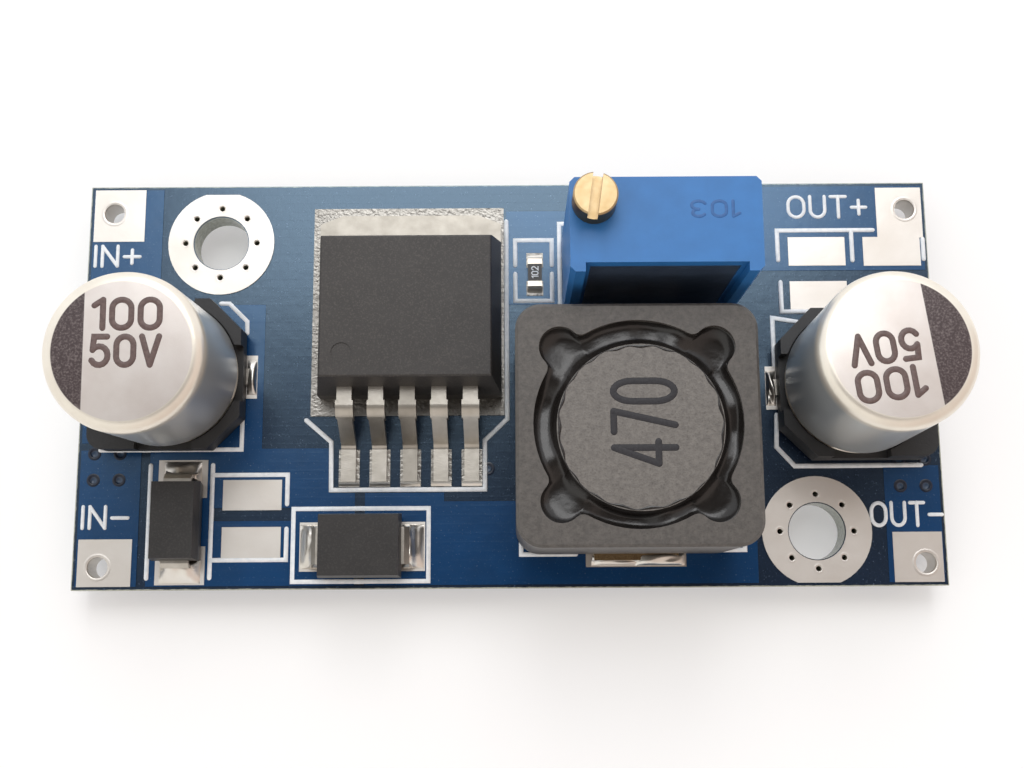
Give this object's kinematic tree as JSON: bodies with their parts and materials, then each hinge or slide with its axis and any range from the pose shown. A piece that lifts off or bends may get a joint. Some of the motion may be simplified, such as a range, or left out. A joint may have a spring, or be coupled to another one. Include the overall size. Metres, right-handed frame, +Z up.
{
  "type": "adjustable step-down converter module",
  "caption": "Small blue circuit board with a switching regulator, shielded inductor, electrolytic capacitors, diodes and a multiturn trimmer that sets the output voltage",
  "frame": {"origin": "middle of the board in plan, level with the tips of the trimmer's pins, which are the lowest points", "axes": "+X along the board's length, from the input end to the output end; +Y towards the trimmer's long edge; +Z up, away from the soldered underside"},
  "size_m": [0.048, 0.023, 0.0142],
  "materials": {
    "mask": "glossy blue solder mask over laminate",
    "tinned_land": "tinned copper, uneven",
    "solder": "bright solder",
    "black_epoxy": "moulded, fine grain",
    "tin_plate": "matt tin plate",
    "ferrite": "sintered, dull",
    "magnet_wire": "enamelled copper wire",
    "glue": "cured, uneven",
    "gold_tin": "plated strip",
    "can_aluminium": "drawn, satin",
    "base_plastic": "moulded, matt",
    "blue_plastic": "moulded, satin",
    "navy_resin": "cured resin",
    "ceramic": "fired ceramic",
    "brass": "turned",
    "seal_rubber": "moulded ring",
    "white_plastic": "moulded",
    "spring_metal": "stamped spring strip"
  },
  "bodies": {
    "module": {"capacitor_lands": "tinned_land", "catch_diode_body": "black_epoxy", "catch_diode_terminal_1": "tin_plate", "catch_diode_terminal_2": "tin_plate", "circuit_board": "mask", "diode_lands": "tinned_land", "inductor_drum": "ferrite", "inductor_glue": "glue", "inductor_lands": "tinned_land", "inductor_shield": "ferrite", "inductor_terminal_back": "gold_tin", "inductor_terminal_front": "gold_tin", "inductor_winding": "magnet_wire", "input_capacitor_base": "base_plastic", "input_capacitor_can": "can_aluminium", "input_capacitor_lead_minus": "tin_plate", "input_capacitor_lead_plus": "tin_plate", "input_minus_pad": "tinned_land", "input_plus_pad": "tinned_land", "left_screw_land": "tinned_land", "output_capacitor_base": "base_plastic", "output_capacitor_can": "can_aluminium", "output_capacitor_lead_minus": "tin_plate", "output_capacitor_lead_plus": "tin_plate", "output_minus_pad": "tinned_land", "output_plus_pad": "tinned_land", "protection_diode_body": "black_epoxy", "protection_diode_terminal_1": "tin_plate", "protection_diode_terminal_2": "tin_plate", "regulator_body": "black_epoxy", "regulator_lands": "tinned_land", "regulator_lead_1": "tin_plate", "regulator_lead_2": "tin_plate", "regulator_lead_4": "tin_plate", "regulator_lead_5": "tin_plate", "regulator_solder": "solder", "regulator_tab": "tin_plate", "resistor_body": "black_epoxy", "resistor_cap_back": "tin_plate", "resistor_cap_front": "tin_plate", "resistor_lands": "tinned_land", "right_screw_land": "tinned_land", "screw_seal": "seal_rubber", "spare_lands": "tinned_land", "terminal_solder": "solder", "top_copper": "mask", "trimmer_element": "ceramic", "trimmer_housing": "blue_plastic", "trimmer_pads": "tinned_land", "trimmer_pin_1": "tin_plate", "trimmer_pin_2": "tin_plate", "trimmer_pin_3": "tin_plate", "trimmer_potting": "navy_resin", "trimmer_solder": "solder"},
    "screw": {"adjusting_screw": "brass"},
    "rotor": {"worm_wheel": "white_plastic", "wiper": "spring_metal"}
  },
  "joints": [
    {"name": "screw_turn", "type": "hinge", "parent": "module", "child": "screw", "pos_m": [0.00426, 0.00711, 0.01267], "axis": [0, 0, 1], "range_deg": [-4500, 4500]},
    {"name": "wheel_turn", "type": "hinge", "parent": "module", "child": "rotor", "pos_m": [0.00814, 0.00711, 0.00775], "axis": [0, -1, 0], "range_deg": [-150.5, 150.5]}
  ],
  "couplings": [
    {"joint": "wheel_turn", "follows": "screw_turn", "ratio": 0.033333}
  ]
}
